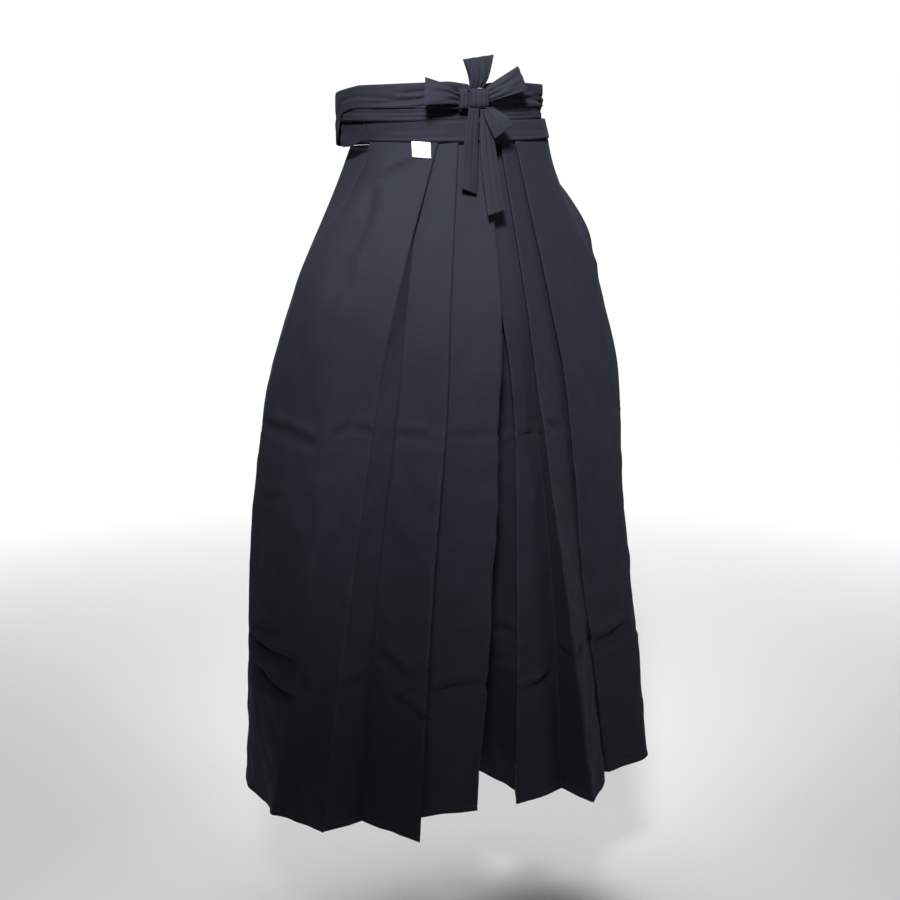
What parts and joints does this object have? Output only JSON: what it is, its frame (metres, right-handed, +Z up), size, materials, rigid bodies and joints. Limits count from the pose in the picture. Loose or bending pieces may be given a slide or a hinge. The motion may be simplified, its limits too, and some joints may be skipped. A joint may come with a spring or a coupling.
{
  "type": "hakama trousers",
  "caption": "Pleated wide-legged hakama trousers in dark navy cloth, worn form and hollow, with side slits, a back board, wound ties and a front bow.",
  "frame": {"origin": "middle of the waist, level with the seam between the front pleats and the front band, where the wearer's waist holds the garment up", "axes": "+Z up, the front faces -Y, the wearer's right side is -X"},
  "size_m": [0.6172, 0.3714, 1.0511],
  "materials": {
    "cloth": "matt plain weave, blue-black navy",
    "label": "smooth white woven label, blank"
  },
  "bodies": {
    "root": {"front_panel_right": "cloth", "front_panel_left": "cloth", "back_panel_right": "cloth", "back_panel_left": "cloth", "gusset_right": "cloth", "gusset_left": "cloth", "front_waistband": "cloth", "front_tie_right": "cloth", "front_tie_left": "cloth", "front_tie_turn_right": "cloth", "front_tie_turn_left": "cloth", "back_tie_right": "cloth", "back_tie_left": "cloth", "back_waistband": "cloth", "knot": "cloth", "knot_roll": "cloth", "loop_top": "cloth", "loop_left": "cloth", "loop_right": "cloth", "end_lower": "cloth", "tail_left": "cloth", "tail_right": "cloth", "label": "label"}
  },
  "joints": []
}
